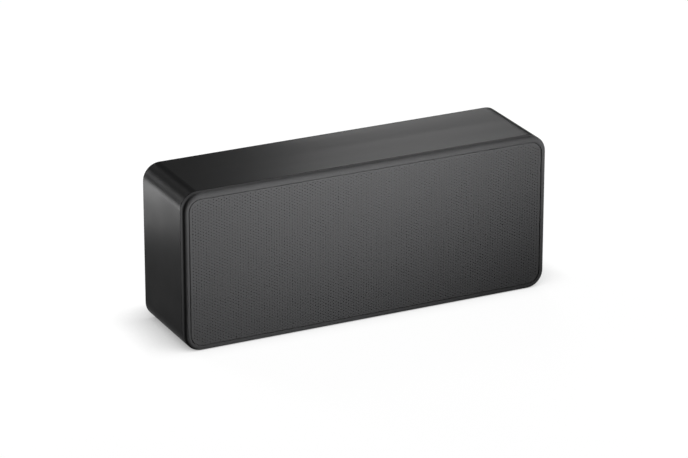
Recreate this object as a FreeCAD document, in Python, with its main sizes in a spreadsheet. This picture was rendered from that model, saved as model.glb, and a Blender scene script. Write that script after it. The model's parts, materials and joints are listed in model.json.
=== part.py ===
import FreeCAD, Part
import math
import os
import Sketcher
from FreeCAD import Vector

# Wall speaker: a closed cabinet with two woofers and a tweeter behind a perforated front.
# X runs along the width, Y from the front (negative) to the wall (positive), Z up from the bottom.
# Each piece is drawn about the speaker's centre line, with depth counted from the front plane.

doc = FreeCAD.newDocument("WallSpeaker")
sheet = doc.addObject("Spreadsheet::Sheet", "Sizes")


class Size:
    """A length with its formula, so that sums of sheet cells can drive a feature."""

    def __init__(self, formula, value):
        self.formula = formula
        self.value = value

    def __add__(self, other):
        other = as_size(other)
        return Size(f"({self.formula} + {other.formula})", self.value + other.value)

    def __sub__(self, other):
        other = as_size(other)
        return Size(f"({self.formula} - {other.formula})", self.value - other.value)

    def __mul__(self, factor):
        return Size(f"({self.formula} * {factor})", self.value * factor)

    def __truediv__(self, factor):
        return Size(f"({self.formula} / {factor})", self.value / factor)

    def __neg__(self):
        return Size(f"(0 - {self.formula})", -self.value)


def as_size(number):
    if isinstance(number, Size):
        return number
    return Size(str(number), float(number))


sheet_rows = []


def size(name, number):
    sheet_rows.append(name)
    row = len(sheet_rows)
    sheet.set(f"A{row}", name)
    sheet.set(f"B{row}", str(number))
    sheet.setAlias(f"B{row}", name)
    return Size(f"Sizes.{name}", float(number))


# Cabinet
cabinet_width = size("cabinet_width", 400)
cabinet_height = size("cabinet_height", 165)
cabinet_depth = size("cabinet_depth", 100)
corner_radius = size("corner_radius", 18)
sleeve_wall = size("sleeve_wall", 3)
flange_width = size("flange_width", 9)
flange_thickness = size("flange_thickness", 3)
boss_radius = size("boss_radius", 4.5)
boss_length = size("boss_length", 12)
boss_inset = size("boss_inset", 7.2)
pilot_radius = size("pilot_radius", 1.6)
screw_corner_gap = size("screw_corner_gap", 12)
panel_clearance = size("panel_clearance", 0.4)
seal_thickness = size("seal_thickness", 2)

# Front frame and grille
frame_depth = size("frame_depth", 12)
frame_skirt = size("frame_skirt", 8.2)
seam_gap = size("seam_gap", 0.5)
front_round = size("front_round", 4.2)
grille_inset = size("grille_inset", 5.4)
grille_recess = size("grille_recess", 0.3)
grille_gap = size("grille_gap", 0.6)
grille_thickness = size("grille_thickness", 1.2)
grille_edge_round = size("grille_edge_round", 0.8)
grille_margin = size("grille_margin", 2.4)
column_pitch = size("column_pitch", 3.4)
column_width = size("column_width", 1.4)
ledge_width = size("ledge_width", 4.1)
tongue_clearance = size("tongue_clearance", 0.3)
scrim_thickness = size("scrim_thickness", 0.8)
scrim_clearance = size("scrim_clearance", 0.5)
magnet_radius = size("magnet_radius", 2.5)
magnet_length = size("magnet_length", 3)
strike_radius = size("strike_radius", 2.6)
strike_thickness = size("strike_thickness", 1)
catch_clearance = size("catch_clearance", 0.1)

# Baffle and rear panel
baffle_thickness = size("baffle_thickness", 10)
rear_recess = size("rear_recess", 6)
rear_panel_thickness = size("rear_panel_thickness", 5)

# Woofer
woofer_flange_radius = size("woofer_flange_radius", 64)
woofer_flange_thickness = size("woofer_flange_thickness", 4)
woofer_flange_step = size("woofer_flange_step", 1)
woofer_screw_circle = size("woofer_screw_circle", 60)
woofer_mouth_radius = size("woofer_mouth_radius", 52)
basket_wall = size("basket_wall", 2.5)
basket_shelf_depth = size("basket_shelf_depth", 29.5)
basket_shelf_radius = size("basket_shelf_radius", 42)
basket_base_thickness = size("basket_base_thickness", 3)
spider_step = size("spider_step", 2.5)
basket_window_angle = size("basket_window_angle", 42)
driver_seal = size("driver_seal", 1)
driver_clearance = size("driver_clearance", 0.4)
surround_thickness = size("surround_thickness", 1)
surround_roll = size("surround_roll", 4.9)
surround_lip = size("surround_lip", 3.6)
cone_wall = size("cone_wall", 1.3)
cone_rim_thickness = size("cone_rim_thickness", 1)
cone_neck_depth = size("cone_neck_depth", 24)
coil_radius = size("coil_radius", 12.9)
coil_former_wall = size("coil_former_wall", 0.5)
coil_winding = size("coil_winding", 0.8)
coil_winding_length = size("coil_winding_length", 7)
gap_clearance = size("gap_clearance", 0.5)
dust_cap_radius = size("dust_cap_radius", 18)
dust_cap_rise = size("dust_cap_rise", 6)
dust_cap_wall = size("dust_cap_wall", 0.8)
spider_thickness = size("spider_thickness", 0.6)
spider_lip = size("spider_lip", 4)
spider_wave = size("spider_wave", 1.4)
plate_radius = size("plate_radius", 38)
plate_thickness = size("plate_thickness", 5)
ferrite_radius = size("ferrite_radius", 40)
ferrite_hole = size("ferrite_hole", 19)
ferrite_length = size("ferrite_length", 14)
pole_vent = size("pole_vent", 4)

# Tweeter
tweeter_plate_radius = size("tweeter_plate_radius", 46)
tweeter_plate_thickness = size("tweeter_plate_thickness", 4)
tweeter_screw_circle = size("tweeter_screw_circle", 40.5)
tweeter_flare_radius = size("tweeter_flare_radius", 28)
dome_radius = size("dome_radius", 12.6)
dome_rise = size("dome_rise", 6)
dome_wall = size("dome_wall", 0.5)
dome_rim = size("dome_rim", 4.9)
tweeter_top_radius = size("tweeter_top_radius", 30)
tweeter_top_thickness = size("tweeter_top_thickness", 3)
tweeter_ferrite_radius = size("tweeter_ferrite_radius", 33)
tweeter_ferrite_hole = size("tweeter_ferrite_hole", 16)
tweeter_ferrite_length = size("tweeter_ferrite_length", 10)
tweeter_coil_wall = size("tweeter_coil_wall", 0.6)
tweeter_coil_length = size("tweeter_coil_length", 5)

# Crossover, terminals and wall fixings
board_part_gap = size("board_part_gap", 2)
board_margin = size("board_margin", 5)
board_thickness = size("board_thickness", 1.6)
board_rise = size("board_rise", 29)
post_height = size("post_height", 6)
post_radius = size("post_radius", 3.5)
post_inset = size("post_inset", 5)
inductor_radius = size("inductor_radius", 15)
inductor_length = size("inductor_length", 16)
inductor_flange = size("inductor_flange", 2)
inductor_core = size("inductor_core", 6)
capacitor_radius = size("capacitor_radius", 6.5)
capacitor_length = size("capacitor_length", 26)
resistor_width = size("resistor_width", 9)
resistor_length = size("resistor_length", 25)
cup_width = size("cup_width", 66)
cup_height = size("cup_height", 38)
cup_depth = size("cup_depth", 18)
cup_wall = size("cup_wall", 2)
cup_flange = size("cup_flange", 7)
cup_corner = size("cup_corner", 6)
cup_drop = size("cup_drop", 36)
terminal_spacing = size("terminal_spacing", 24)
terminal_stud = size("terminal_stud", 2.5)
terminal_cap_radius = size("terminal_cap_radius", 6)
terminal_cap_length = size("terminal_cap_length", 14)
terminal_nut_radius = size("terminal_nut_radius", 4.5)
terminal_nut_length = size("terminal_nut_length", 3)
keyhole_side_inset = size("keyhole_side_inset", 70)
keyhole_top_inset = size("keyhole_top_inset", 38.5)
keyhole_entry = size("keyhole_entry", 5)
keyhole_slot = size("keyhole_slot", 2.5)
keyhole_travel = size("keyhole_travel", 9)
keyhole_width = size("keyhole_width", 44)
keyhole_height = size("keyhole_height", 34)
keyhole_thickness = size("keyhole_thickness", 1.5)
keyhole_pocket = size("keyhole_pocket", 3.4)
keyhole_corner = size("keyhole_corner", 4)
insert_x = size("insert_x", 70)
insert_radius = size("insert_radius", 4)
insert_bore = size("insert_bore", 2.5)
insert_length = size("insert_length", 10)
insert_wall = size("insert_wall", 2.5)
pad_gap = size("pad_gap", 5)

# Screws
screw_radius = size("screw_radius", 1.5)
screw_length = size("screw_length", 18)
screw_head_radius = size("screw_head_radius", 3.4)
screw_head_height = size("screw_head_height", 2)
screw_hole_radius = size("screw_hole_radius", 2)
driver_screw_length = size("driver_screw_length", 9)
small_screw_length = size("small_screw_length", 6)

# Depths counted back from the front plane
sleeve_front = frame_skirt + seam_gap
ledge_depth = grille_recess + grille_thickness
baffle_front = frame_depth
baffle_rear = baffle_front + baffle_thickness
flange_front = baffle_rear + seal_thickness
flange_rear = flange_front + flange_thickness
panel_rear = cabinet_depth - rear_recess
panel_front = panel_rear - rear_panel_thickness
rear_flange_rear = panel_front - seal_thickness
rear_flange_front = rear_flange_rear - flange_thickness

# Insets from the cabinet's outer face
wall_inset = sleeve_wall
flange_inset = sleeve_wall + flange_width
tongue_inset = sleeve_wall + tongue_clearance
panel_inset = sleeve_wall + panel_clearance
opening_inset = grille_inset + ledge_width
sheet_inset = grille_inset + grille_gap
scrim_inset = opening_inset + scrim_clearance
catch_inset = (tongue_inset + opening_inset) / 2

# Places that follow the cabinet's outline
outer_screw_x = cabinet_width / 2 - corner_radius - screw_corner_gap
inner_screw_x = outer_screw_x / 3
catch_x = (outer_screw_x + inner_screw_x) / 2
keyhole_x = cabinet_width / 2 - keyhole_side_inset
keyhole_rise = cabinet_height / 2 - keyhole_top_inset
driver_gap = (cabinet_width / 2 - panel_inset - woofer_flange_radius * 2 - tweeter_plate_radius) / 2
woofer_x = tweeter_plate_radius + driver_gap + woofer_flange_radius
screw_rise = cabinet_height / 2 - boss_inset
catch_rise = cabinet_height / 2 - catch_inset
edge_screws = []
for across in (-outer_screw_x, -inner_screw_x, inner_screw_x, outer_screw_x):
    edge_screws += [(across, screw_rise), (across, -screw_rise)]
catches = []
for across in (-catch_x, catch_x):
    catches += [(across, catch_rise), (across, -catch_rise)]

parts = []


def bind(thing, path, length):
    thing.setExpression(path, length.formula)


def place(thing, across, rise):
    """Puts a piece on the line at this distance across and up from the centre line."""
    bind(thing, "Placement.Base.x", as_size(across))
    bind(thing, "Placement.Base.y", -(cabinet_depth / 2))
    bind(thing, "Placement.Base.z", cabinet_height / 2 + as_size(rise))


def new_body(label, across=0, rise=0):
    body = doc.addObject("PartDesign::Body", label)
    body.Label = label
    place(body, across, rise)
    parts.append(body)
    return body


def new_sketch(body, name, role, depth=None):
    sketch = body.newObject("Sketcher::SketchObject", name)
    planes = [plane for plane in body.Origin.OriginFeatures if plane.Role == role]
    sketch.AttachmentSupport = (planes[0], [""])
    sketch.MapMode = "FlatFace"
    if depth is not None:
        bind(sketch, "AttachmentOffset.Base.z", -as_size(depth))
    return sketch


def pin(sketch, edge, point, across, along):
    """Holds one point of a sketch at a distance from the sketch's origin."""
    for kind, axis, length in (("DistanceX", -2, across), ("DistanceY", -1, along)):
        if length.formula in ("0", "0.0"):
            sketch.addConstraint(Sketcher.Constraint("PointOnObject", edge, point, axis))
            continue
        number = sketch.addConstraint(Sketcher.Constraint(kind, -1, 1, edge, point, length.value))
        bind(sketch, f"Constraints[{number}]", length)


def draw_outline(sketch, corners):
    """A closed outline of straight edges."""
    corners = [(as_size(across), as_size(along)) for across, along in corners]
    first = sketch.GeometryCount
    count = len(corners)
    for number in range(count):
        start = corners[number]
        end = corners[(number + 1) % count]
        sketch.addGeometry(Part.LineSegment(Vector(start[0].value, start[1].value, 0),
                                            Vector(end[0].value, end[1].value, 0)))
    for number in range(count):
        after = first + (number + 1) % count
        sketch.addConstraint(Sketcher.Constraint("Coincident", first + number, 2, after, 1))
    for number, (across, along) in enumerate(corners):
        pin(sketch, first + number, 1, across, along)


def draw_rounded(sketch, width, height, radius, across=0, rise=0):
    """A rectangle with four equal round corners."""
    across, rise = as_size(across), as_size(rise)
    half_width, half_height = width / 2, height / 2
    left, right = across - half_width, across + half_width
    low, high = rise - half_height, rise + half_height
    corner = radius.value
    x0, x1, z0, z1 = left.value, right.value, low.value, high.value
    first = sketch.GeometryCount
    runs = [((x0 + corner, z0), (x1 - corner, z0)), ((x1, z0 + corner), (x1, z1 - corner)),
            ((x1 - corner, z1), (x0 + corner, z1)), ((x0, z1 - corner), (x0, z0 + corner))]
    centres = [(x1 - corner, z0 + corner), (x1 - corner, z1 - corner),
               (x0 + corner, z1 - corner), (x0 + corner, z0 + corner)]
    for start, end in runs:
        sketch.addGeometry(Part.LineSegment(Vector(*start, 0), Vector(*end, 0)))
    for quarter, centre in enumerate(centres):
        circle = Part.Circle(Vector(*centre, 0), Vector(0, 0, 1), corner)
        begin = math.radians(90 * quarter - 90)
        sketch.addGeometry(Part.ArcOfCircle(circle, begin, begin + math.radians(90)))
    for quarter in range(4):
        line, arc, after = first + quarter, first + 4 + quarter, first + (quarter + 1) % 4
        sketch.addConstraint(Sketcher.Constraint("Tangent", line, 2, arc, 1))
        sketch.addConstraint(Sketcher.Constraint("Tangent", arc, 2, after, 1))
        if quarter:
            sketch.addConstraint(Sketcher.Constraint("Equal", first + 4, arc))
    for line, kind, length in ((0, "DistanceY", low), (1, "DistanceX", right),
                               (2, "DistanceY", high), (3, "DistanceX", left)):
        direction = "Horizontal" if kind == "DistanceY" else "Vertical"
        sketch.addConstraint(Sketcher.Constraint(direction, first + line))
        number = sketch.addConstraint(
            Sketcher.Constraint(kind, -1, 1, first + line, 1, length.value))
        bind(sketch, f"Constraints[{number}]", length)
    number = sketch.addConstraint(Sketcher.Constraint("Radius", first + 4, corner))
    bind(sketch, f"Constraints[{number}]", radius)


def draw_circles(sketch, centres, radius):
    for across, rise in centres:
        across, rise = as_size(across), as_size(rise)
        circle = Part.Circle(Vector(across.value, rise.value, 0), Vector(0, 0, 1), radius.value)
        edge = sketch.addGeometry(circle)
        pin(sketch, edge, 3, across, rise)
        number = sketch.addConstraint(Sketcher.Constraint("Radius", edge, radius.value))
        bind(sketch, f"Constraints[{number}]", radius)


def pad(body, name, sketch, length):
    """Grows a front-view sketch towards the wall."""
    feature = body.newObject("PartDesign::Pad", name)
    feature.Profile = sketch
    feature.Reversed = True
    bind(feature, "Length", length)
    return feature


def pocket(body, name, sketch, length=None):
    """Cuts a front-view sketch towards the wall, right through where no length is given."""
    feature = body.newObject("PartDesign::Pocket", name)
    feature.Profile = sketch
    if length is None:
        feature.Type = "ThroughAll"
    else:
        bind(feature, "Length", length)
    return feature


def ring_outline(sketch, inset):
    """The cabinet's rounded outline, drawn this far inside its outer face."""
    draw_rounded(sketch, cabinet_width - inset * 2, cabinet_height - inset * 2,
                 corner_radius - inset)


def ring(body, name, outer_inset, inner_inset, depth, length):
    sketch = new_sketch(body, name + "_outline", "XZ_Plane", depth)
    ring_outline(sketch, as_size(outer_inset))
    if inner_inset is not None:
        ring_outline(sketch, inner_inset)
    return pad(body, name, sketch, length)


def drill(body, name, centres, radius, depth=0, length=None):
    sketch = new_sketch(body, name + "_centres", "XZ_Plane", depth)
    draw_circles(sketch, centres, radius)
    return pocket(body, name, sketch, length)


def studs(body, name, centres, radius, depth, length):
    sketch = new_sketch(body, name + "_centres", "XZ_Plane", depth)
    draw_circles(sketch, centres, radius)
    return pad(body, name, sketch, length)


def turn(body, name, corners):
    """Turns an outline of (radius, depth) corners about the body's own axis."""
    sketch = new_sketch(body, name + "_section", "XY_Plane")
    draw_outline(sketch, corners)
    feature = body.newObject("PartDesign::Revolution", name)
    feature.Profile = sketch
    feature.ReferenceAxis = (sketch, ["V_Axis"])
    return feature


def tube(label, inner, outer, depth, length, across=0, rise=0):
    body = new_body(label, across, rise)
    inner, outer, depth = as_size(inner), as_size(outer), as_size(depth)
    end = depth + length
    turn(body, "ring", [(inner, depth), (outer, depth), (outer, end), (inner, end)])
    return body


def circle_places(radius, count, first_angle):
    """Evenly spaced places on a circle about the piece's own axis."""
    places = []
    for number in range(count):
        angle = math.radians(first_angle + 360 * number / count)
        places.append((radius * round(math.cos(angle), 6), radius * round(math.sin(angle), 6)))
    return places


def set_shape(label, shape, across=0, rise=0):
    """A piece whose shape is worked out in code from the sheet's values."""
    piece = doc.addObject("Part::Feature", label)
    piece.Label = label
    piece.Shape = shape
    place(piece, across, rise)
    parts.append(piece)
    return piece


def spin(edges):
    """Turns a closed chain of edges, drawn in radius and depth, about the Y axis."""
    face = Part.Face(Part.Wire(edges))
    return face.revolve(Vector(0, 0, 0), Vector(0, 1, 0), 360)


def line(start, end):
    return Part.LineSegment(Vector(*start, 0), Vector(*end, 0)).toShape()


def arc(start, middle, end):
    return Part.Arc(Vector(*start, 0), Vector(*middle, 0), Vector(*end, 0)).toShape()


def screw_shape(length, flush):
    """A screw along +Y with its head's face at zero: countersunk where flush, else a flat disc."""
    radius, head = screw_radius.value, screw_head_radius.value
    height, end = screw_head_height.value, length.value
    if flush:
        corners = [(0, 0), (head, 0), (radius, height), (radius, end - radius), (0, end)]
    else:
        corners = [(0, -height), (head, -height), (head, 0), (radius, 0),
                   (radius, end - radius), (0, end)]
    edges = []
    for number, corner in enumerate(corners):
        edges.append(line(corner, corners[(number + 1) % len(corners)]))
    return spin(edges)


def screws(label, places, depth, length, flush=False, from_rear=False):
    """A set of equal screws, each a solid of its own, with their head seats at this depth."""
    solids = []
    for across, rise in places:
        solid = screw_shape(length, flush)
        if from_rear:
            solid.rotate(Vector(0, 0, 0), Vector(1, 0, 0), 180)
        solid.translate(Vector(as_size(across).value, depth.value, as_size(rise).value))
        solids.append(solid)
    return set_shape(label, Part.makeCompound(solids))


# Cabinet sleeve: walls, two inner flanges and the screw bosses behind them, cast in one piece
sleeve = new_body("cabinet_sleeve")
ring(sleeve, "walls", 0, wall_inset, sleeve_front, cabinet_depth - sleeve_front)
ring(sleeve, "front_flange", sleeve_wall / 2, flange_inset, flange_front, flange_thickness)
ring(sleeve, "rear_flange", sleeve_wall / 2, flange_inset, rear_flange_front, flange_thickness)
studs(sleeve, "front_bosses", edge_screws, boss_radius, flange_rear, boss_length)
studs(sleeve, "rear_bosses", edge_screws, boss_radius, rear_flange_front - boss_length, boss_length)
drill(sleeve, "front_pilots", edge_screws, pilot_radius, flange_front,
      flange_thickness + boss_length)
drill(sleeve, "rear_pilots", edge_screws, pilot_radius, rear_flange_front - boss_length,
      flange_thickness + boss_length)

# Front frame: a ring with a rounded front edge, a rebate for the grille and a tongue in the sleeve
frame = new_body("front_frame")
band = ring(frame, "band", 0, opening_inset, 0, frame_skirt)
doc.recompute()
front_edges = []
for number, edge in enumerate(band.Shape.Edges, start=1):
    box = edge.BoundBox
    outermost = max(abs(box.XMin), abs(box.XMax)) > (cabinet_width / 2 - corner_radius).value - 0.01
    highest = max(abs(box.ZMin), abs(box.ZMax)) > (cabinet_height / 2).value - 0.01
    widest = max(abs(box.XMin), abs(box.XMax)) > (cabinet_width / 2).value - 0.01
    if box.YMax < 0.01 and (highest or widest) and outermost:
        front_edges.append(f"Edge{number}")
rounding = frame.newObject("PartDesign::Fillet", "front_rounding")
rounding.Base = (band, front_edges)
bind(rounding, "Radius", front_round)
ring(frame, "tongue", tongue_inset, opening_inset, frame_skirt / 2, frame_depth - frame_skirt / 2)
rebate = new_sketch(frame, "grille_rebate_outline", "XZ_Plane", 0)
ring_outline(rebate, grille_inset)
pocket(frame, "grille_rebate", rebate, ledge_depth)
drill(frame, "magnet_seats", catches, magnet_radius + catch_clearance,
      frame_depth - magnet_length, magnet_length)

# Grille: a thin steel sheet whose columns of perforations are drawn as fine slots
sheet_width = (cabinet_width - sheet_inset * 2).value
sheet_height = (cabinet_height - sheet_inset * 2).value
sheet_corner = (corner_radius - sheet_inset).value


def rounded_plate(width, height, radius, depth, thickness):
    plate = Part.makeBox(width, thickness, height, Vector(-width / 2, depth, -height / 2))
    upright = [edge for edge in plate.Edges if abs(edge.tangentAt(edge.FirstParameter).y) > 0.99]
    return plate.makeFillet(radius, upright)


sheet_front = grille_recess.value
grille = rounded_plate(sheet_width, sheet_height, sheet_corner, sheet_front, grille_thickness.value)
rim = [edge for edge in grille.Edges if edge.BoundBox.YMax < sheet_front + 0.001]
grille = grille.makeFillet(grille_edge_round.value, rim)
field_width = sheet_width - 2 * grille_margin.value
field_height = sheet_height - 2 * grille_margin.value
field_corner = sheet_corner - grille_margin.value
columns = int((field_width - column_width.value) / column_pitch.value) + 1
slots = []
for column in range(columns):
    across = (column - (columns - 1) / 2) * column_pitch.value
    past = abs(across) + column_width.value / 2 - (field_width / 2 - field_corner)
    shortening = 0
    if past > 0:
        shortening = field_corner - math.sqrt(field_corner ** 2 - past ** 2)
    half_height = field_height / 2 - shortening
    slots.append(Part.makeBox(column_width.value, grille_thickness.value, 2 * half_height,
                              Vector(across - column_width.value / 2, sheet_front, -half_height)))
set_shape("grille_sheet", grille.cut(Part.makeCompound(slots)))

# Scrim: black cloth stretched behind the sheet, inside the frame's opening
scrim = new_body("grille_scrim")
ring(scrim, "cloth", scrim_inset, None, ledge_depth, scrim_thickness)

# Catches that hold the front frame: magnets in its tongue, steel discs in the baffle
disc_solids = []
magnet_solids = []
for across, rise in catches:
    magnet_foot = Vector(across.value, (frame_depth - magnet_length).value, rise.value)
    magnet_solids.append(Part.makeCylinder(magnet_radius.value, magnet_length.value, magnet_foot,
                                           Vector(0, 1, 0)))
    strike_foot = Vector(across.value, baffle_front.value, rise.value)
    disc_solids.append(Part.makeCylinder(strike_radius.value, strike_thickness.value, strike_foot,
                                         Vector(0, 1, 0)))
set_shape("grille_magnets", Part.makeCompound(magnet_solids))
set_shape("grille_strikes", Part.makeCompound(disc_solids))

# Baffle with the drivers' recesses, and its seal on the front flange
driver_seat = baffle_front + woofer_flange_thickness + driver_seal
woofer_cutout = woofer_mouth_radius + basket_wall + driver_clearance
woofer_recess = woofer_flange_radius + driver_clearance
tweeter_seat = baffle_front + tweeter_plate_thickness + driver_seal
tweeter_cutout = tweeter_ferrite_radius + driver_clearance * 2
tweeter_recess = tweeter_plate_radius + driver_clearance
woofers = [(-woofer_x, 0), (woofer_x, 0)]
woofer_holes = []
for across, _ in woofers:
    for aside, rise in circle_places(woofer_screw_circle, 4, 45):
        woofer_holes.append((across + aside, rise))
tweeter_holes = circle_places(tweeter_screw_circle, 4, 45)

baffle = new_body("baffle")
ring(baffle, "board", panel_inset, None, baffle_front, baffle_thickness)
drill(baffle, "woofer_recesses", woofers, woofer_recess, baffle_front,
      woofer_flange_thickness + driver_seal)
drill(baffle, "woofer_cutouts", woofers, woofer_cutout)
drill(baffle, "tweeter_recess", [(0, 0)], tweeter_recess, baffle_front,
      tweeter_plate_thickness + driver_seal)
drill(baffle, "tweeter_cutout", [(0, 0)], tweeter_cutout)
drill(baffle, "edge_holes", edge_screws, screw_hole_radius)
drill(baffle, "edge_heads", edge_screws, screw_head_radius + catch_clearance, baffle_front,
      screw_head_height)
drill(baffle, "woofer_pilots", woofer_holes, pilot_radius)
drill(baffle, "tweeter_pilots", tweeter_holes, pilot_radius)
drill(baffle, "strike_seats", catches, strike_radius + catch_clearance, baffle_front,
      strike_thickness)

front_seal = new_body("baffle_seal")
ring(front_seal, "foam", panel_inset, flange_inset, baffle_rear, seal_thickness)
drill(front_seal, "holes", edge_screws, screw_hole_radius)
screws("baffle_screws", edge_screws, baffle_front, screw_length, flush=True)

# Woofer pieces, measured back from the flange's front face
woofer_front = baffle_front
step_face = woofer_front + woofer_flange_step
flange_back = woofer_front + woofer_flange_thickness
shelf = woofer_front + basket_shelf_depth
base_front = shelf + spider_step
base_back = base_front + basket_base_thickness
step_radius = woofer_mouth_radius + surround_lip + driver_clearance * 3
coil_outer = coil_radius + coil_former_wall + coil_winding
bore_radius = coil_outer + gap_clearance
pole_radius = coil_radius - gap_clearance
top_back = base_back + plate_thickness
ferrite_back = top_back + ferrite_length
yoke_back = ferrite_back + plate_thickness
roll_middle = woofer_mouth_radius - surround_roll + surround_thickness
rim_outer = roll_middle - surround_roll
rim_inner = rim_outer - surround_lip
neck = woofer_front + cone_neck_depth
neck_radius = coil_radius + coil_former_wall


def woofer_basket(label, across):
    """A pressed basket: flange with a step for the surround, six legs and a base for the motor."""
    body = new_body(label, across)
    turn(body, "shell", [
        (step_radius, woofer_front), (woofer_flange_radius, woofer_front),
        (woofer_flange_radius, flange_back), (woofer_mouth_radius + basket_wall, flange_back),
        (basket_shelf_radius + basket_wall, shelf), (basket_shelf_radius + basket_wall, base_back),
        (bore_radius, base_back), (bore_radius, base_front),
        (basket_shelf_radius - spider_lip * 2, base_front), (basket_shelf_radius - spider_lip * 2, shelf),
        (basket_shelf_radius, shelf), (woofer_mouth_radius, flange_back),
        (woofer_mouth_radius, step_face), (step_radius, step_face)])
    section = new_sketch(body, "window_section", "XY_Plane")
    draw_outline(section, [
        (basket_shelf_radius - basket_wall, flange_back + basket_wall),
        (woofer_mouth_radius + basket_wall * 2, flange_back + basket_wall),
        (woofer_mouth_radius + basket_wall * 2, shelf - basket_wall),
        (basket_shelf_radius - basket_wall, shelf - basket_wall)])
    window = body.newObject("PartDesign::Groove", "window")
    window.Profile = section
    window.ReferenceAxis = (section, ["V_Axis"])
    window.Midplane = True
    bind(window, "Angle", basket_window_angle)
    windows = body.newObject("PartDesign::PolarPattern", "windows")
    windows.Originals = [window]
    windows.Axis = (section, ["V_Axis"])
    windows.Angle = 360
    windows.Occurrences = 6
    body.Tip = windows
    drill(body, "screw_holes", circle_places(woofer_screw_circle, 4, 45), screw_hole_radius)
    return body


def surround_shape():
    """A rubber half roll between a lip on the cone and a lip on the basket."""
    middle, wall = roll_middle.value, surround_thickness.value
    outer, inner = surround_roll.value, surround_roll.value - surround_thickness.value
    seat = step_face.value
    front = seat - wall
    lip_in = rim_inner.value
    lip_out = (step_radius - driver_clearance).value
    foot = math.sqrt(outer ** 2 - wall ** 2)
    return spin([
        line((lip_in, seat), (lip_in, front)), line((lip_in, front), (middle - foot, front)),
        arc((middle - foot, front), (middle, seat - outer), (middle + foot, front)),
        line((middle + foot, front), (lip_out, front)), line((lip_out, front), (lip_out, seat)),
        line((lip_out, seat), (middle + inner, seat)),
        arc((middle + inner, seat), (middle, seat - inner), (middle - inner, seat)),
        line((middle - inner, seat), (lip_in, seat))])


def cap_shape(radius, rim_depth, rise, wall):
    """A thin round cap that bulges to the front from a rim at this depth."""
    top = rim_depth - rise
    sphere = (radius ** 2 + rise ** 2) / (2 * rise)
    half = math.asin(radius / sphere) / 2
    centre = top + sphere
    inner = sphere - wall
    reach = math.sqrt(inner ** 2 - (centre - rim_depth) ** 2)
    inner_half = math.asin(reach / inner) / 2
    return spin([
        arc((0, top), (sphere * math.sin(half), centre - sphere * math.cos(half)),
            (radius, rim_depth)),
        line((radius, rim_depth), (reach, rim_depth)),
        arc((reach, rim_depth), (inner * math.sin(inner_half), centre - inner * math.cos(inner_half)),
            (0, top + wall)),
        line((0, top + wall), (0, top))])


def spider_section(body):
    """A corrugated disc from the coil former out to the basket's shelf."""
    inner = neck_radius + gap_clearance / 2
    outer = basket_shelf_radius - driver_clearance
    lip = basket_shelf_radius - spider_lip * 2 + driver_clearance
    front = shelf - spider_thickness
    waves = 6
    corners = [(outer, front), (outer, shelf), (lip, shelf)]
    returns = []
    for number in range(1, waves):
        share = number / waves
        radius = lip - (lip - inner) * share
        height = spider_wave if number % 2 else -spider_wave
        corners.append((radius, shelf - height))
        returns.append((radius, front - height))
    corners += [(inner, shelf), (inner, front)]
    returns.reverse()
    corners += returns + [(lip, front)]
    turn(body, "disc", corners)


def woofer(name, across):
    woofer_basket(name + "_basket", across)
    foam = tube(name + "_seal", woofer_cutout, woofer_flange_radius, flange_back, driver_seal, across)
    drill(foam, "screw_holes", circle_places(woofer_screw_circle, 4, 45), screw_hole_radius)
    set_shape(name + "_surround", surround_shape(), across)
    cone = new_body(name + "_cone", across)
    rim_back = step_face + cone_rim_thickness
    turn(cone, "sheet", [
        (rim_inner, step_face), (rim_outer, step_face), (rim_outer, rim_back),
        (rim_inner, rim_back + cone_wall / 2), (neck_radius, neck + cone_wall), (neck_radius, neck)])
    slope = (neck.value - step_face.value) / (rim_inner.value - neck_radius.value)
    cap_seat = step_face.value + (rim_inner.value - dust_cap_radius.value) * slope
    cap = cap_shape(dust_cap_radius.value, cap_seat - dust_cap_wall.value / 2, dust_cap_rise.value,
                    dust_cap_wall.value)
    set_shape(name + "_dust_cap", cap, across)
    coil = new_body(name + "_voice_coil", across)
    winding_front = base_back + plate_thickness / 2 - coil_winding_length / 2
    winding_back = winding_front + coil_winding_length
    turn(coil, "former_and_winding", [
        (coil_radius, neck), (neck_radius, neck), (neck_radius, winding_front),
        (coil_outer, winding_front), (coil_outer, winding_back), (coil_radius, winding_back)])
    spider_section(new_body(name + "_spider", across))
    tube(name + "_top_plate", bore_radius, plate_radius, base_back, plate_thickness, across)
    tube(name + "_magnet", ferrite_hole, ferrite_radius, top_back, ferrite_length, across)
    yoke = new_body(name + "_yoke", across)
    turn(yoke, "pole_and_plate", [
        (pole_vent, base_back), (pole_radius, base_back), (pole_radius, ferrite_back),
        (plate_radius, ferrite_back), (plate_radius, yoke_back), (pole_vent, yoke_back)])


woofer("woofer_left", -woofer_x)
woofer("woofer_right", woofer_x)
screws("woofer_screws", woofer_holes, woofer_front, driver_screw_length)

# Tweeter: a face plate with a shallow flare, a cloth dome and a ferrite motor
plate_back = baffle_front + tweeter_plate_thickness
dome_face = plate_back - dome_wall
tweeter_throat = dome_radius + gap_clearance * 2
face_plate = new_body("tweeter_plate")
turn(face_plate, "plate", [
    (tweeter_flare_radius, baffle_front), (tweeter_plate_radius, baffle_front),
    (tweeter_plate_radius, plate_back), (dome_radius + dome_rim + gap_clearance, plate_back),
    (dome_radius + dome_rim + gap_clearance, dome_face), (tweeter_throat, dome_face)])
drill(face_plate, "screw_holes", tweeter_holes, screw_hole_radius)
foam = tube("tweeter_seal", tweeter_cutout, tweeter_plate_radius, plate_back, driver_seal)
drill(foam, "screw_holes", tweeter_holes, screw_hole_radius)
dome = cap_shape(dome_radius.value, dome_face.value, dome_rise.value, dome_wall.value)
dome_lip = Part.makeCylinder((dome_radius + dome_rim).value, dome_wall.value,
                             Vector(0, dome_face.value, 0), Vector(0, 1, 0))
dome_eye = Part.makeCylinder((dome_radius - dome_wall * 2).value, dome_wall.value,
                             Vector(0, dome_face.value, 0), Vector(0, 1, 0))
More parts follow.
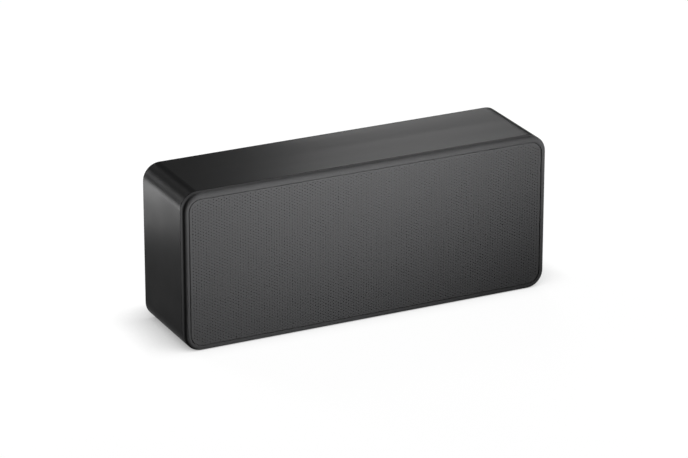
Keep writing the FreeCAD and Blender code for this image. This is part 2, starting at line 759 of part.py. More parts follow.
set_shape("tweeter_dome", dome.fuse(dome_lip.cut(dome_eye)))
tweeter_coil_outer = dome_radius - dome_wall
tweeter_coil_inner = tweeter_coil_outer - tweeter_coil_wall
tweeter_bore = tweeter_coil_outer + gap_clearance
tweeter_pole = tweeter_coil_inner - gap_clearance
top_end = plate_back + tweeter_top_thickness
magnet_end = top_end + tweeter_ferrite_length
tube("tweeter_coil", tweeter_coil_inner, tweeter_coil_outer, plate_back, tweeter_coil_length)
tube("tweeter_top_plate", tweeter_bore, tweeter_top_radius, plate_back, tweeter_top_thickness)
tube("tweeter_magnet", tweeter_ferrite_hole, tweeter_ferrite_radius, top_end,
     tweeter_ferrite_length)
tweeter_yoke = new_body("tweeter_yoke")
yoke_end = magnet_end + tweeter_top_thickness
turn(tweeter_yoke, "pole_and_plate", [
    (0, plate_back), (tweeter_pole, plate_back), (tweeter_pole, magnet_end),
    (tweeter_top_radius, magnet_end), (tweeter_top_radius, yoke_end), (0, yoke_end)])
screws("tweeter_screws", tweeter_holes, baffle_front, driver_screw_length)

# The crossover board is as large as the parts on it: coils at the ends, capacitors and resistors between
coil_across = capacitor_length / 2 + board_part_gap + inductor_radius
capacitor_lift = capacitor_radius + board_part_gap / 2
resistor_lift = capacitor_lift + capacitor_radius + board_part_gap + resistor_width / 2
board_width = (coil_across + inductor_radius + board_margin) * 2
board_height = (resistor_lift + resistor_width / 2 + board_part_gap) * 2

# Rear panel with board posts, insert bosses, keyhole pockets and the terminal opening
board_places = []
for side in (-1, 1):
    for level in (-1, 1):
        board_places.append(((board_width / 2 - post_inset) * side,
                             board_rise + (board_height / 2 - post_inset) * level))
inserts = [(-insert_x, 0), (insert_x, 0)]
keyholes = [(-keyhole_x, keyhole_rise), (keyhole_x, keyhole_rise)]
rear_panel = new_body("rear_panel")
ring(rear_panel, "sheet", panel_inset, None, panel_front, rear_panel_thickness)
studs(rear_panel, "board_posts", board_places, post_radius, panel_front - post_height, post_height)
studs(rear_panel, "insert_bosses", inserts, insert_radius + insert_wall,
      panel_rear - insert_length - insert_wall, insert_length + insert_wall)
opening = new_sketch(rear_panel, "terminal_opening_outline", "XZ_Plane", panel_front)
draw_rounded(opening, cup_width + driver_clearance, cup_height + driver_clearance, cup_corner,
             rise=-cup_drop)
pocket(rear_panel, "terminal_opening", opening, rear_panel_thickness)
pockets = new_sketch(rear_panel, "keyhole_pocket_outline", "XZ_Plane", panel_rear - keyhole_pocket)
for across, rise in keyholes:
    draw_rounded(pockets, (keyhole_entry + keyhole_slot) * 2,
                 keyhole_travel + (keyhole_entry + keyhole_slot) * 2, keyhole_corner, across,
                 rise + keyhole_travel / 2)
pocket(rear_panel, "keyhole_pockets", pockets, keyhole_pocket)
drill(rear_panel, "insert_holes", inserts, insert_radius, panel_rear - insert_length, insert_length)
drill(rear_panel, "edge_holes", edge_screws, screw_hole_radius)
drill(rear_panel, "board_pilots", board_places, pilot_radius, panel_front - post_height, post_height)
keyhole_screw_places = []
for across, rise in keyholes:
    for side in (-1, 1):
        keyhole_screw_places.append((across + (keyhole_width / 2 - keyhole_corner) * side, rise))
cup_screw_places = []
for side in (-1, 1):
    for level in (-1, 1):
        cup_screw_places.append(((cup_width / 2 + cup_flange / 2) * side,
                                 (cup_height / 2 - cup_corner) * level - cup_drop))
small_pilot = small_screw_length - keyhole_thickness
drill(rear_panel, "small_pilots", keyhole_screw_places + cup_screw_places, pilot_radius,
      panel_rear - small_pilot, small_pilot)
rear_seal = new_body("rear_seal")
ring(rear_seal, "foam", panel_inset, flange_inset, rear_flange_rear, seal_thickness)
drill(rear_seal, "holes", edge_screws, screw_hole_radius)
screws("rear_screws", edge_screws, panel_rear, screw_length, from_rear=True)
insert_solids = []
for across, rise in inserts:
    foot = Vector(across.value, (panel_rear - insert_length).value, 0)
    insert_solid = Part.makeCylinder(insert_radius.value, insert_length.value, foot, Vector(0, 1, 0))
    insert_solids.append(insert_solid.cut(
        Part.makeCylinder(insert_bore.value, insert_length.value, foot, Vector(0, 1, 0))))
set_shape("bracket_inserts", Part.makeCompound(insert_solids))

# Keyhole plates on the back of the panel
plate_solids = []
for across, rise in keyholes:
    middle = Vector(across.value, panel_rear.value, rise.value)
    plate = rounded_plate(keyhole_width.value, keyhole_height.value, keyhole_corner.value, 0,
                          keyhole_thickness.value)
    plate.translate(middle)
    plate.translate(Vector(0, 0, keyhole_travel.value / 2))
    depth = keyhole_thickness.value
    cuts = [Part.makeCylinder(keyhole_entry.value, depth, middle, Vector(0, 1, 0)),
            Part.makeCylinder(keyhole_slot.value, depth,
                              middle + Vector(0, 0, keyhole_travel.value), Vector(0, 1, 0)),
            Part.makeBox(2 * keyhole_slot.value, depth, keyhole_travel.value,
                         middle - Vector(keyhole_slot.value, 0, 0))]
    for ear_across, ear_rise in keyhole_screw_places:
        cuts.append(Part.makeCylinder(screw_hole_radius.value, depth,
                                      Vector(ear_across.value, panel_rear.value, ear_rise.value),
                                      Vector(0, 1, 0)))
    plate_solids.append(plate.cut(cuts))
set_shape("keyhole_plates", Part.makeCompound(plate_solids))
screws("keyhole_screws", keyhole_screw_places, panel_rear + keyhole_thickness, small_screw_length,
       from_rear=True)

# Terminal cup with two binding posts
cup_floor = panel_rear - cup_depth
cup = new_body("terminal_cup", rise=-cup_drop)
sketch = new_sketch(cup, "flange_outline", "XZ_Plane", panel_rear)
draw_rounded(sketch, cup_width + cup_flange * 2, cup_height + cup_flange * 2, cup_corner)
pad(cup, "flange", sketch, cup_wall)
sketch = new_sketch(cup, "tub_outline", "XZ_Plane", cup_floor - cup_wall)
draw_rounded(sketch, cup_width, cup_height, cup_corner)
pad(cup, "tub", sketch, cup_depth + cup_wall * 1.5)
sketch = new_sketch(cup, "hollow_outline", "XZ_Plane", cup_floor)
draw_rounded(sketch, cup_width - cup_wall * 2, cup_height - cup_wall * 2, cup_corner - cup_wall)
pocket(cup, "hollow", sketch, cup_depth + cup_wall)
terminals = [(-(terminal_spacing / 2), 0), (terminal_spacing / 2, 0)]
drill(cup, "stud_holes", terminals, terminal_stud + catch_clearance, cup_floor - cup_wall, cup_wall)
cup_holes = [(across, rise + cup_drop) for across, rise in cup_screw_places]
drill(cup, "screw_holes", cup_holes, screw_hole_radius, panel_rear, cup_wall)
screws("terminal_screws", cup_screw_places, panel_rear + cup_wall, small_screw_length, from_rear=True)
for name, (across, _) in zip(("terminal_red", "terminal_black"), terminals):
    post = new_body(name, across, -cup_drop)
    stud_front = cup_floor - cup_wall - terminal_nut_length * 2
    cap_end = cup_floor + terminal_cap_length
    waist = cup_floor + terminal_cap_length / 3
    turn(post, "post", [
        (0, stud_front), (terminal_stud, stud_front), (terminal_stud, cup_floor),
        (terminal_cap_radius, cup_floor), (terminal_cap_radius, waist - terminal_stud / 2),
        (terminal_cap_radius - terminal_stud / 2, waist),
        (terminal_cap_radius, waist + terminal_stud / 2), (terminal_cap_radius, cap_end),
        (0, cap_end)])
nut_solids = []
for across, _ in terminals:
    corners = []
    for number in range(7):
        angle = math.radians(60 * number)
        corners.append(Vector(across.value + terminal_nut_radius.value * math.cos(angle),
                              (cup_floor - cup_wall - terminal_nut_length).value,
                              terminal_nut_radius.value * math.sin(angle)))
    nut = Part.Face(Part.makePolygon(corners)).extrude(Vector(0, terminal_nut_length.value, 0))
    bore = Part.makeCylinder((terminal_stud + catch_clearance).value, terminal_nut_length.value,
                             Vector(across.value, corners[0].y, 0), Vector(0, 1, 0))
    nut_solids.append(nut.cut(bore))
set_shape("terminal_nuts", Part.makeCompound(nut_solids), rise=-cup_drop)

# Crossover board on its posts, with coils, capacitors and resistors
board_back = panel_front - post_height
board_front = board_back - board_thickness
board = new_body("crossover_board", rise=board_rise)
sketch = new_sketch(board, "outline", "XZ_Plane", board_front)
draw_rounded(sketch, board_width, board_height, post_inset / 2)
pad(board, "laminate", sketch, board_thickness)
board_holes = [(across, rise - board_rise) for across, rise in board_places]
drill(board, "screw_holes", board_holes, screw_hole_radius)
screws("board_screws", board_places, board_front, small_screw_length)
spools = []
for side in (-1, 1):
    foot = board_front.value
    length, wall = inductor_length.value, inductor_flange.value
    radius, core = inductor_radius.value, inductor_core.value
    spool = spin([
        line((core, foot), (radius, foot)), line((radius, foot), (radius, foot - wall)),
        line((radius, foot - wall), (radius - wall, foot - wall)),
        line((radius - wall, foot - wall), (radius - wall, foot - length + wall)),
        line((radius - wall, foot - length + wall), (radius, foot - length + wall)),
        line((radius, foot - length + wall), (radius, foot - length)),
        line((radius, foot - length), (core, foot - length)),
        line((core, foot - length), (core, foot))])
    spool.translate(Vector(side * coil_across.value, 0, 0))
    spools.append(spool)
set_shape("crossover_coils", Part.makeCompound(spools), rise=board_rise)
cans = []
blocks = []
for level in (-1, 1):
    lift = level * capacitor_lift.value
    can = Part.makeCylinder(capacitor_radius.value, capacitor_length.value,
                            Vector(-capacitor_length.value / 2,
                                   (board_front - capacitor_radius).value, lift), Vector(1, 0, 0))
    cans.append(can)
    block_rise = level * resistor_lift.value - resistor_width.value / 2
    blocks.append(Part.makeBox(resistor_length.value, resistor_width.value, resistor_width.value,
                               Vector(-resistor_length.value / 2,
                                      (board_front - resistor_width).value, block_rise)))
set_shape("crossover_capacitors", Part.makeCompound(cans), rise=board_rise)
set_shape("crossover_resistors", Part.makeCompound(blocks), rise=board_rise)

# Felt pads on the rear panel, as large as the flange and bosses around them allow
# They take half of the depth left behind the woofers' motors
pad_outer = cabinet_width / 2 - flange_inset - pad_gap
pad_inner = insert_x + insert_radius + insert_wall + pad_gap
pad_width = pad_outer - pad_inner
pad_height = cabinet_height - (boss_inset + boss_radius + pad_gap) * 2
pad_thickness = (panel_front - yoke_back) / 2
pad_x = (pad_outer + pad_inner) / 2
for name, across in (("damping_pad_left", -pad_x), ("damping_pad_right", pad_x)):
    felt = new_body(name, across)
    sketch = new_sketch(felt, "outline", "XZ_Plane", panel_front - pad_thickness)
    draw_rounded(sketch, pad_width, pad_height, post_inset)
    pad(felt, "felt", sketch, pad_thickness)

doc.recompute()
for thing in doc.Objects:
    if "Invalid" in thing.State or "Error" in thing.State:
        raise RuntimeError(f"{thing.Label} could not be built: {thing.State}")
for piece in parts:
    if piece.Shape.isNull() or not piece.Shape.isValid():
        raise RuntimeError(f"{piece.Label} has no valid shape")

os.makedirs("parts", exist_ok=True)
for piece in parts:
    piece.Shape.exportStep(f"parts/{piece.Label}.step")
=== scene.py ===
import json
import math

import bmesh
import bpy
import numpy as np
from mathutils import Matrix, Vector
from mathutils.geometry import delaunay_2d_cdt


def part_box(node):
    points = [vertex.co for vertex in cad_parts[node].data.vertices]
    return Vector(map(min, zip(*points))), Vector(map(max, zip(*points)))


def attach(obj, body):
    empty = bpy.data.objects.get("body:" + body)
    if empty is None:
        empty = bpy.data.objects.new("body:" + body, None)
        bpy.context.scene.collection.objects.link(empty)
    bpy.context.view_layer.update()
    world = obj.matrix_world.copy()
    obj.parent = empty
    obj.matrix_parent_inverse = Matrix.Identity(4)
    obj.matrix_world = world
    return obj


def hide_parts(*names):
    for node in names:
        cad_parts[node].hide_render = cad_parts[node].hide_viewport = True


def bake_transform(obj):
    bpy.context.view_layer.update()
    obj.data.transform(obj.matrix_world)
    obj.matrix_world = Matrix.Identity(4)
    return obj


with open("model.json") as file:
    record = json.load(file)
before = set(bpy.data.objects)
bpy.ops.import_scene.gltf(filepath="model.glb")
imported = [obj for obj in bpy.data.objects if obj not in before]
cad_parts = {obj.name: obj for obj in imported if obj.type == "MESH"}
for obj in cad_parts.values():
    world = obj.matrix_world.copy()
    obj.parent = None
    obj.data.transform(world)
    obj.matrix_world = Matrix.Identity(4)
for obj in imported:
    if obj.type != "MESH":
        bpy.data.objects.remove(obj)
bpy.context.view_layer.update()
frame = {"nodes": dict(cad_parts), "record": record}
nodes = frame["nodes"]
scene = bpy.context.scene

MM = 0.001

# Grille: small six-sided holes in staggered upright columns, in millimetres
COLUMN_PITCH = 2.8
HOLE_RADIUS = 0.58
HOLE_SIDES = 6
GRILLE_MARGIN = 1.4
GRILLE_CORNER = 12.0
GRILLE_EDGE_ROUND = 0.8
EDGE_ROWS = 4
CORNER_STEPS = 8
MERGE_DISTANCE = 1e-5

# Soft rings of the woofers: finish, sectors, and the inner and outer bands that do not flex, in metres.
SOFT_RINGS = {
    "spider": ("spider_cloth", 8, -0.006, 0.0212),
    "surround": ("surround_rubber", 16, 0.0036, 0.0046),
}
WELD_DISTANCE = 1e-6
SHARP_ANGLE = 35

# Camera, solved from the photograph's edges
CAMERA_AZIMUTH = -26.056
CAMERA_ELEVATION = 21.445
CAMERA_DISTANCE = 3.5394
CAMERA_TARGET = (-0.0277, -0.050, 0.1020)
CAMERA_LENS = 187.27
SENSOR_WIDTH = 36.0
VIEW_DEPTH = 50

# Studio: a white floor with a painted shadow near the object that leans to the back, a dim world, and
# softboxes as name, place, aim, width, height, brightness and spread in degrees
FLOOR_HALF_SIZE = 6.0
FLOOR_COLOR = 0.10
FLOOR_GLOW = 0.97
# Painted shadow: the floor's glow is darkened by occlusion near the object, with this reach, lean and sample
# count
PAINTED_SHADOW_REACH = 0.042
PAINTED_SHADOW_LEAN = (0.0, -0.8, 0.6)
PAINTED_SHADOW_SAMPLES = 8
WORLD_LEVEL = 0.05
LAMPS = [
    ("grid_box", (0.54, -0.66, 0.14), (-0.20, -0.05, 0.30), 0.34, 0.16, 7.6, 50),
    ("edge_box", (0.72, -0.80, 0.66), (0.05, -0.05, 0.16), 0.50, 0.40, 2.9, 180),
    ("back_right_box", (0.53, 0.836, 0.531), (0.12, 0, 0.165), 0.36, 0.28, 8.5, 180),
    ("back_wide_box", (0.33, 0.836, 0.531), (-0.06, 0, 0.165), 0.40, 0.28, 0.7, 180),
    ("back_left_box", (-0.53, 0.67, 0.315), (-0.195, 0, 0.15), 0.22, 0.22, 14, 180),
    ("low_left_box", (-0.30, 0.21, 0.07), (-0.2, 0, 0.14), 0.16, 0.09, 0.6, 60),
    ("upper_left_box", (-0.29, 0.19, 0.10), (-0.2, 0, 0.15), 0.16, 0.06, 1.0, 60),
    ("corner_box", (-0.33, 0.84, 0.66), (-0.19, 0, 0.155), 0.42, 0.25, 4, 180),
    ("floor_wash", (0, 1.1, 1.2), (0, 0.8, 0), 1.4, 0.6, 1.6, 180),
]


# Materials: the range that a noise fills, how far gloss varies, and the depth of bumps in metres
NOISE_RANGE = (0.3, 0.7)
GLOSS_SWING = 0.03
GRAIN_DEPTH = 0.0001
THREAD_DEPTH = 0.0003


def new_material(name):
    material = bpy.data.materials.new("finish_" + name)
    material.use_nodes = True
    tree = material.node_tree
    shader = tree.nodes["Principled BSDF"]
    return material, tree, shader


def add_node(tree, kind, **inputs):
    node = tree.nodes.new(kind)
    for name, value in inputs.items():
        node.inputs[name.replace("_", " ")].default_value = value
    return node


def coordinates(tree, stretch=(1, 1, 1)):
    """Object coordinates in metres, stretched along the axes where a grain runs one way."""
    source = tree.nodes.new("ShaderNodeTexCoord")
    mapping = tree.nodes.new("ShaderNodeMapping")
    mapping.inputs["Scale"].default_value = stretch
    tree.links.new(source.outputs["Object"], mapping.inputs["Vector"])
    return mapping.outputs["Vector"]


def noise(tree, vector, scale, detail=2.0):
    texture = add_node(tree, "ShaderNodeTexNoise", Scale=scale, Detail=detail)
    tree.links.new(vector, texture.inputs["Vector"])
    return texture.outputs["Fac"]


def ramp(tree, factor, low, high):
    """Runs a factor from one colour to another."""
    mix = tree.nodes.new("ShaderNodeMix")
    mix.data_type = "RGBA"
    mix.inputs["A"].default_value = (*low, 1)
    mix.inputs["B"].default_value = (*high, 1)
    tree.links.new(factor, mix.inputs["Factor"])
    return mix.outputs["Result"]


def spread(tree, factor, low, high):
    """Runs a factor from one number to another."""
    node = tree.nodes.new("ShaderNodeMapRange")
    node.inputs["From Min"].default_value = NOISE_RANGE[0]
    node.inputs["From Max"].default_value = NOISE_RANGE[1]
    node.inputs["To Min"].default_value = low
    node.inputs["To Max"].default_value = high
    tree.links.new(factor, node.inputs["Value"])
    return node.outputs["Result"]


def raise_bump(tree, shader, height, strength, distance):
    bump = tree.nodes.new("ShaderNodeBump")
    bump.inputs["Strength"].default_value = strength
    bump.inputs["Distance"].default_value = distance
    tree.links.new(height, bump.inputs["Height"])
    tree.links.new(bump.outputs["Normal"], shader.inputs["Normal"])


def shade(color, factor):
    """A colour made darker or lighter."""
    return tuple(min(1.0, channel * factor) for channel in color)


def grained(name, color, roughness, grain=900, bump=0.1, metallic=0.0, stretch=(1, 1, 1),
            variation=0.15, specular=0.5):
    """A surface with a fine grain that varies its colour, its gloss and its height."""
    material, tree, shader = new_material(name)
    vector = coordinates(tree, stretch)
    fine = noise(tree, vector, grain, 3.0)
    broad = noise(tree, vector, grain / 40, 2.0)
    tree.links.new(ramp(tree, fine, shade(color, 1 - variation), shade(color, 1 + variation)),
                   shader.inputs["Base Color"])
    tree.links.new(spread(tree, broad, roughness - GLOSS_SWING, roughness + GLOSS_SWING),
                   shader.inputs["Roughness"])
    shader.inputs["Metallic"].default_value = metallic
    shader.inputs["Specular IOR Level"].default_value = specular
    raise_bump(tree, shader, fine, bump, GRAIN_DEPTH)
    return material


def woven(name, color, thread, roughness=0.9, specular=0.3):
    """Cloth with two sets of threads, this far apart."""
    material, tree, shader = new_material(name)
    vector = coordinates(tree)
    waves = []
    for axis in ("X", "Z"):
        wave = add_node(tree, "ShaderNodeTexWave", Scale=math.pi / thread / 10, Distortion=0.6)
        wave.bands_direction = axis
        tree.links.new(vector, wave.inputs["Vector"])
        waves.append(wave.outputs["Fac"])
    cross = tree.nodes.new("ShaderNodeMath")
    cross.operation = "MULTIPLY"
    for number, wave in enumerate(waves):
        tree.links.new(wave, cross.inputs[number])
    tree.links.new(ramp(tree, cross.outputs["Value"], shade(color, 0.6), shade(color, 1.4)),
                   shader.inputs["Base Color"])
    shader.inputs["Roughness"].default_value = roughness
    shader.inputs["Specular IOR Level"].default_value = specular
    raise_bump(tree, shader, cross.outputs["Value"], 0.6, THREAD_DEPTH)
    return material


PAINT_COLOR = (0.012, 0.012, 0.0125)
FRAME_COLOR = (0.105, 0.105, 0.107)
GRILLE_COLOR = (0.105, 0.105, 0.107)
finishes = {
    "cabinet_paint": grained("cabinet_paint", PAINT_COLOR, 0.36, 1400, 0.06, stretch=(0.05, 1, 1),
                             variation=0.2, specular=0.015),
    "frame_paint": grained("frame_paint", FRAME_COLOR, 0.60, 1400, 0.06, variation=0.2, specular=0.01),
    "grille_paint": grained("grille_paint", GRILLE_COLOR, 0.50, 1600, 0.12, specular=0.06),
    # The scrim is black cloth set darker than its own colour, partly painted shade in the grille's holes
    "scrim_cloth": woven("scrim_cloth", (0.006, 0.006, 0.006), 0.0006, specular=0.05),
    "bright_steel": grained("bright_steel", (0.55, 0.55, 0.56), 0.32, 700, 0.1, 1.0, (1, 1, 8)),
    "black_screw": grained("black_screw", (0.03, 0.03, 0.032), 0.4, 1200, 0.1, 0.6),
    "baffle_plastic": grained("baffle_plastic", (0.02, 0.02, 0.02), 0.6, 700, 0.3),
    "panel_plastic": grained("panel_plastic", (0.028, 0.028, 0.029), 0.55, 900, 0.35),
    "cup_plastic": grained("cup_plastic", (0.022, 0.022, 0.022), 0.42, 1000, 0.15),
    "driver_plastic": grained("driver_plastic", (0.022, 0.022, 0.022), 0.5, 900, 0.2),
    "seal_foam": grained("seal_foam", (0.04, 0.04, 0.04), 0.95, 500, 0.6),
    "basket_paint": grained("basket_paint", (0.03, 0.03, 0.03), 0.45, 800, 0.2),
    "surround_rubber": grained("surround_rubber", (0.018, 0.018, 0.018), 0.55, 900, 0.15),
    "cone_pulp": grained("cone_pulp", (0.035, 0.035, 0.036), 0.8, 400, 0.5, variation=0.3),
    "spider_cloth": woven("spider_cloth", (0.55, 0.42, 0.18), 0.0008),
    "dome_cloth": woven("dome_cloth", (0.025, 0.025, 0.025), 0.0005, 0.6),
    "copper_wire": grained("copper_wire", (0.70, 0.32, 0.16), 0.3, 600, 0.5, 1.0, (1, 12, 1)),
    "ferrite": grained("ferrite", (0.05, 0.05, 0.05), 0.7, 900, 0.3),
    "insert_brass": grained("insert_brass", (0.78, 0.58, 0.28), 0.3, 800, 0.1, 1.0),
    "terminal_red": grained("terminal_red", (0.45, 0.015, 0.015), 0.25, 800, 0.05),
    "terminal_black": grained("terminal_black", (0.02, 0.02, 0.02), 0.25, 800, 0.05),
    "board_laminate": grained("board_laminate", (0.04, 0.15, 0.07), 0.4, 300, 0.1),
    "capacitor_sleeve": grained("capacitor_sleeve", (0.75, 0.55, 0.10), 0.35, 500, 0.1),
    "resistor_block": grained("resistor_block", (0.78, 0.77, 0.72), 0.85, 700, 0.4),
    "damping_felt": grained("damping_felt", (0.42, 0.42, 0.41), 0.98, 300, 0.9, variation=0.3),
}

for part in frame["record"]["subparts"]:
    piece = nodes[part["node"]]
    piece.data.materials.clear()
    piece.data.materials.append(finishes[part["material_slot"]])


# Perforated grille
def rounded_loop(width, height, corner, centre_z):
    """Points of a rounded rectangle, anticlockwise seen from the front, in millimetres."""
    points = []
    for quarter, (side, level) in enumerate(((1, -1), (1, 1), (-1, 1), (-1, -1))):
        for step in range(CORNER_STEPS + 1):
            angle = math.radians(-90 + 90 * quarter + 90 * step / CORNER_STEPS)
            points.append((side * (width / 2 - corner) + corner * math.cos(angle),
                           centre_z + level * (height / 2 - corner) + corner * math.sin(angle)))
    return points


def hole_centres(width, height, corner, centre_z):
    """A staggered pattern of hole centres that stays inside a rounded field."""
    rise = COLUMN_PITCH * 2 / math.sqrt(3)
    columns = int(width / 2 / COLUMN_PITCH) + 1
    rows = int(height / 2 / rise) + 1
    centres = []
    for column in range(-columns, columns + 1):
        x = column * COLUMN_PITCH
        shift = rise / 2 if column % 2 else 0
        for row in range(-rows - 1, rows + 2):
            z = row * rise + shift
            over_x = max(0, abs(x) + HOLE_RADIUS - (width / 2 - corner))
            over_z = max(0, abs(z) + HOLE_RADIUS - (height / 2 - corner))
            if math.hypot(over_x, over_z) <= corner:
                centres.append((x, centre_z + z))
    return centres


def perforated_sheet(name, low, high):
    """A closed sheet with a rounded rim and a hole through it at each centre."""
    front, back = low[1] / MM, high[1] / MM
    width, height = (high[0] - low[0]) / MM, (high[2] - low[2]) / MM
    centre_z = (low[2] + high[2]) / 2 / MM
    flat_width, flat_height = width - 2 * GRILLE_EDGE_ROUND, height - 2 * GRILLE_EDGE_ROUND
    loop = rounded_loop(flat_width, flat_height, GRILLE_CORNER - GRILLE_EDGE_ROUND, centre_z)
    centres = np.array(hole_centres(width - 2 * GRILLE_MARGIN, height - 2 * GRILLE_MARGIN,
                                    GRILLE_CORNER - GRILLE_MARGIN, centre_z))
    angles = np.arange(HOLE_SIDES) * 2 * math.pi / HOLE_SIDES
    rims = centres[:, None, :] + HOLE_RADIUS * np.stack([np.cos(angles), np.sin(angles)], -1)[None]
    points = [Vector(point) for point in loop] + [Vector(point) for point in rims.reshape(-1, 2)]
    edges = [(i, (i + 1) % len(loop)) for i in range(len(loop))]
    for hole in range(len(centres)):
        first = len(loop) + hole * HOLE_SIDES
        edges += [(first + i, first + (i + 1) % HOLE_SIDES) for i in range(HOLE_SIDES)]
    flat, _, triangles, *_ = delaunay_2d_cdt(points, edges, [], 1, MERGE_DISTANCE)
    flat = np.array([tuple(point) for point in flat])
    triangles = np.array(triangles)
    ring_of = np.full(len(flat), -1)
    ring_of[len(loop):len(loop) + len(centres) * HOLE_SIDES] = np.repeat(np.arange(len(centres)), HOLE_SIDES)
    owners = ring_of[triangles]
    inside = (owners[:, 0] >= 0) & (owners[:, 0] == owners[:, 1]) & (owners[:, 1] == owners[:, 2])
    triangles = triangles[~inside]
    count = len(flat)
    vertices = [(x, front, z) for x, z in flat] + [(x, back, z) for x, z in flat]
    faces = [tuple(int(i) for i in face) for face in triangles]
    faces += [tuple(int(i) + count for i in reversed(face)) for face in triangles]
    for hole in range(len(centres)):
        first = len(loop) + hole * HOLE_SIDES
        for i in range(HOLE_SIDES):
            a, b = first + i, first + (i + 1) % HOLE_SIDES
            faces.append((a, a + count, b + count, b))
    rows = [list(range(len(loop)))]
    for row in range(1, EDGE_ROWS + 1):
        angle = math.radians(90 * row / EDGE_ROWS)
        out = GRILLE_EDGE_ROUND * math.sin(angle)
        deep = front + GRILLE_EDGE_ROUND * (1 - math.cos(angle))
        ring = rounded_loop(flat_width + 2 * out, flat_height + 2 * out,
                            GRILLE_CORNER - GRILLE_EDGE_ROUND + out, centre_z)
        rows.append(list(range(len(vertices), len(vertices) + len(ring))))
        vertices += [(x, deep, z) for x, z in ring]
    ring = rounded_loop(width, height, GRILLE_CORNER, centre_z)
    rows.append(list(range(len(vertices), len(vertices) + len(ring))))
    vertices += [(x, back, z) for x, z in ring]
    rows.append(list(range(count, count + len(loop))))
    for near, far in zip(rows, rows[1:]):
        for i in range(len(near)):
            j = (i + 1) % len(near)
            faces.append((near[i], near[j], far[j], far[i]))
    mesh = bpy.data.meshes.new(name)
    mesh.from_pydata([(x * MM, y * MM, z * MM) for x, y, z in vertices], [], faces)
    mesh.validate()
    mesh.update()
    piece = bpy.data.objects.new(name, mesh)
    scene.collection.objects.link(piece)
    return piece


grille = perforated_sheet("grille_perforated", *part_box("grille_sheet"))
grille.data.materials.append(finishes["grille_paint"])
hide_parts("grille_sheet")
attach(grille, "cabinet")


# Soft rings of the woofers: each cut into sectors
def ring_sector(source, name, centre, middle, half):
    """The part of a ring within half an angle on both sides of the middle, closed where it is cut."""
    shape = bmesh.new()
    shape.from_mesh(source.data)
    shape.transform(source.matrix_world)
    bmesh.ops.remove_doubles(shape, verts=shape.verts, dist=WELD_DISTANCE)
    for turn in (-1, 1):
        angle = middle + turn * half
        outward = Vector((-math.sin(angle), 0, math.cos(angle))) * turn
        cut = bmesh.ops.bisect_plane(shape, geom=shape.verts[:] + shape.edges[:] + shape.faces[:],
                                     plane_co=centre, plane_no=outward, clear_outer=True)
        edges = [item for item in cut["geom_cut"] if isinstance(item, bmesh.types.BMEdge)]
        bmesh.ops.edgenet_fill(shape, edges=edges)
    bmesh.ops.recalc_face_normals(shape, faces=shape.faces)
    mesh = bpy.data.meshes.new(name)
    shape.to_mesh(mesh)
    shape.free()
    mesh.shade_smooth()
    mesh.set_sharp_from_angle(angle=math.radians(SHARP_ANGLE))
    piece = bpy.data.objects.new(name, mesh)
    scene.collection.objects.link(piece)
    return piece


def flexing_ring(node, moving_body, slot, sectors, inner_band, outer_band):
    """Sectors that stand for a soft ring, which itself is hidden."""
    source = nodes[node]
    low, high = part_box(node)
    centre = (Vector(low) + Vector(high)) / 2
    half = math.pi / sectors
    for sector in range(sectors):
        middle = 2 * half * sector
        piece = ring_sector(source, f"{node}_sector_{sector + 1}", centre, middle, half)
        piece.data.materials.append(finishes[slot])
        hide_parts(node)
        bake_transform(piece)


for side in ("left", "right"):
    for ring, facts in SOFT_RINGS.items():
        flexing_ring(f"woofer_{side}_{ring}", f"woofer_{side}_moving", *facts)


# Studio
def area_light(name, place, aim, width, height, radiance, beam):
    """A softbox of this size and brightness, turned towards a point, with a grid that narrows its spread."""
    data = bpy.data.lights.new(name, "AREA")
    data.energy = math.pi * width * height * radiance
    data.shape = "RECTANGLE"
    data.size = width
    data.size_y = height
    data.spread = math.radians(beam)
    lamp = bpy.data.objects.new(name, data)
    lamp.location = place
    lamp.rotation_mode = "QUATERNION"
    lamp.rotation_quaternion = (Vector(aim) - Vector(place)).to_track_quat("-Z", "Y")
    scene.collection.objects.link(lamp)


def seen_rays(tree):
    """One for the rays in which the background shows: from the camera, in gloss and through glass."""
    path = tree.nodes.new("ShaderNodeLightPath")
    total = path.outputs["Is Camera Ray"]
    for name in ("Is Glossy Ray", "Is Transmission Ray"):
        larger = tree.nodes.new("ShaderNodeMath")
        larger.operation = "MAXIMUM"
        tree.links.new(total, larger.inputs[0])
        tree.links.new(path.outputs[name], larger.inputs[1])
        total = larger.outputs["Value"]
    return total


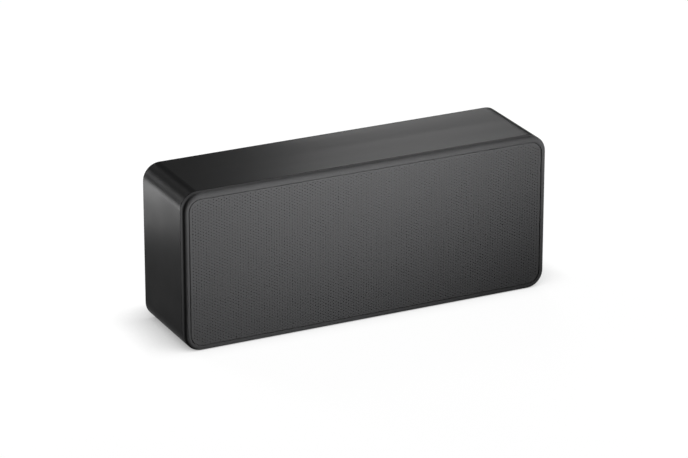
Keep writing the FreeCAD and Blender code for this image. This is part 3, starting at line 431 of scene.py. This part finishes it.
def studio_floor(half):
    """A pale floor that shows white to the camera and in gloss, with a painted shadow that darkens its glow
    close to the object.
    """
    mesh = bpy.data.meshes.new("studio_floor")
    corners = [(-half, -half, 0), (half, -half, 0), (half, half, 0), (-half, half, 0)]
    mesh.from_pydata(corners, [], [(0, 1, 2, 3)])
    floor = bpy.data.objects.new("studio_floor", mesh)
    scene.collection.objects.link(floor)
    material = bpy.data.materials.new("studio_floor")
    material.use_nodes = True
    tree = material.node_tree
    tree.nodes.clear()
    output = tree.nodes.new("ShaderNodeOutputMaterial")
    diffuse = add_node(tree, "ShaderNodeBsdfDiffuse", Color=(FLOOR_COLOR,) * 3 + (1,))
    glow = tree.nodes.new("ShaderNodeEmission")
    both = tree.nodes.new("ShaderNodeAddShader")
    tree.links.new(diffuse.outputs["BSDF"], both.inputs[0])
    tree.links.new(glow.outputs["Emission"], both.inputs[1])
    level = tree.nodes.new("ShaderNodeMath")
    level.operation = "MULTIPLY"
    level.inputs[1].default_value = FLOOR_GLOW
    # Painted shadow: the glow is multiplied by occlusion about a leaned normal, darker near the object at
    # the back and sides
    painted_shadow_occlusion = add_node(tree, "ShaderNodeAmbientOcclusion", Distance=PAINTED_SHADOW_REACH)
    painted_shadow_occlusion.samples = PAINTED_SHADOW_SAMPLES
    painted_shadow_lean = tree.nodes.new("ShaderNodeCombineXYZ")
    for socket, value in zip(painted_shadow_lean.inputs, PAINTED_SHADOW_LEAN):
        socket.default_value = value
    tree.links.new(painted_shadow_lean.outputs["Vector"], painted_shadow_occlusion.inputs["Normal"])
    painted_shadow = tree.nodes.new("ShaderNodeMath")
    painted_shadow.operation = "MULTIPLY"
    tree.links.new(seen_rays(tree), painted_shadow.inputs[0])
    tree.links.new(painted_shadow_occlusion.outputs["AO"], painted_shadow.inputs[1])
    tree.links.new(painted_shadow.outputs["Value"], level.inputs[0])
    tree.links.new(level.outputs["Value"], glow.inputs["Strength"])
    tree.links.new(both.outputs["Shader"], output.inputs["Surface"])
    mesh.materials.append(material)


studio_floor(FLOOR_HALF_SIZE)

world = bpy.data.worlds.new("studio")
world.use_nodes = True
scene.world = world
background = world.node_tree.nodes["Background"]
background.inputs["Color"].default_value = (1, 1, 1, 1)
background.inputs["Strength"].default_value = WORLD_LEVEL

for lamp in LAMPS:
    area_light(*lamp)

# Camera
azimuth, elevation = math.radians(CAMERA_AZIMUTH), math.radians(CAMERA_ELEVATION)
back = Vector((math.sin(azimuth) * math.cos(elevation), -math.cos(azimuth) * math.cos(elevation),
               math.sin(elevation)))
camera_data = bpy.data.cameras.new("camera")
camera_data.lens = CAMERA_LENS
camera_data.sensor_width = SENSOR_WIDTH
camera_data.clip_end = VIEW_DEPTH
camera = bpy.data.objects.new("camera", camera_data)
camera.location = Vector(CAMERA_TARGET) + back * CAMERA_DISTANCE
camera.rotation_mode = "QUATERNION"
camera.rotation_quaternion = (-back).to_track_quat("-Z", "Y")
scene.collection.objects.link(camera)
scene.camera = camera
scene.view_settings.view_transform = "Standard"
